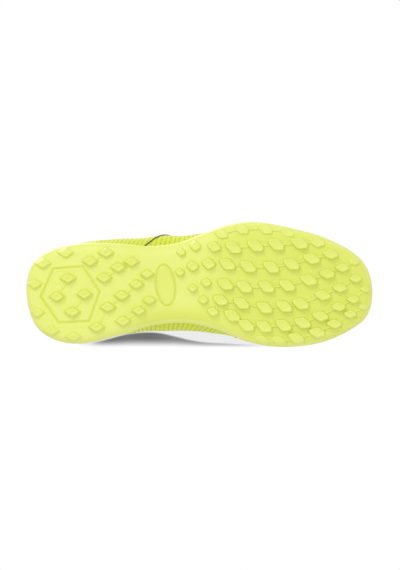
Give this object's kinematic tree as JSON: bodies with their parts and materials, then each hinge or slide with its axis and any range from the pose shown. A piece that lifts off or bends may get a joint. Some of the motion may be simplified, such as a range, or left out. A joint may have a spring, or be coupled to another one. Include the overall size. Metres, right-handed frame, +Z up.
{
  "type": "turf soccer shoe",
  "caption": "Right low-cut soccer shoe with a one-piece lugged rubber cup outsole, knitted mesh upper, laced throat, padded collar and loose insole.",
  "frame": {"origin": "centre of the overall box at ground level: the shoe stands on its lugs at z = 0", "axes": "+X towards the toe, +Y towards the inner (medial) side of the foot, +Z up"},
  "size_m": [0.2842, 0.1026, 0.0999],
  "materials": {
    "outsole_rubber": "matt moulded rubber, pale lime",
    "midsole_foam": "expanded foam, off-white",
    "board_fibre": "pressed fibre sheet",
    "sockliner_cloth": "knitted cloth over foam",
    "mesh": "open knitted mesh, lime with dark olive flecks",
    "lining_cloth": "dark soft knit",
    "collar_foam": "soft padding",
    "trim_film": "welded film, olive",
    "trim_webbing": "woven tape, olive",
    "lace_cord": "braided polyester, lime",
    "aglet_plastic": "shrunk plastic tip"
  },
  "bodies": {
    "shoe": {"outsole": "outsole_rubber", "midsole": "midsole_foam", "lasting_board": "board_fibre", "vamp": "mesh", "vamp_lining": "lining_cloth", "toe_puff": "board_fibre", "quarter_lateral": "mesh", "quarter_medial": "mesh", "quarter_lining_lateral": "lining_cloth", "quarter_lining_medial": "lining_cloth", "heel_lining": "lining_cloth", "heel_counter": "board_fibre", "collar_foam": "collar_foam", "heel_overlay": "trim_film", "eyestay_lateral": "trim_film", "eyestay_medial": "trim_film", "lace": "lace_cord", "aglet_lower": "aglet_plastic", "aglet_upper": "aglet_plastic"},
    "tongue": {"tongue": "mesh", "tongue_loop": "trim_webbing"},
    "insole": {"sockliner": "sockliner_cloth"},
    "heel_loop": {"pull_loop": "trim_webbing"}
  },
  "joints": [
    {"name": "tongue_hinge", "type": "hinge", "parent": "shoe", "child": "tongue", "pos_m": [0.0445, 0.007, 0.0585], "axis": [0, 1, 0], "range_deg": [-12, 0], "stiffness_Nm_per_rad": 0.05, "springref_deg": 14.32},
    {"name": "insole_lift", "type": "hinge", "parent": "shoe", "child": "insole", "pos_m": [0.1318, 0.0062, 0.0254], "axis": [0, 1, 0], "range_deg": [0, 4]},
    {"name": "heel_loop_flop", "type": "hinge", "parent": "shoe", "child": "heel_loop", "pos_m": [-0.1384, 0.007, 0.0826], "axis": [0, 1, 0], "range_deg": [-70, 5], "stiffness_Nm_per_rad": 0.0005}
  ]
}
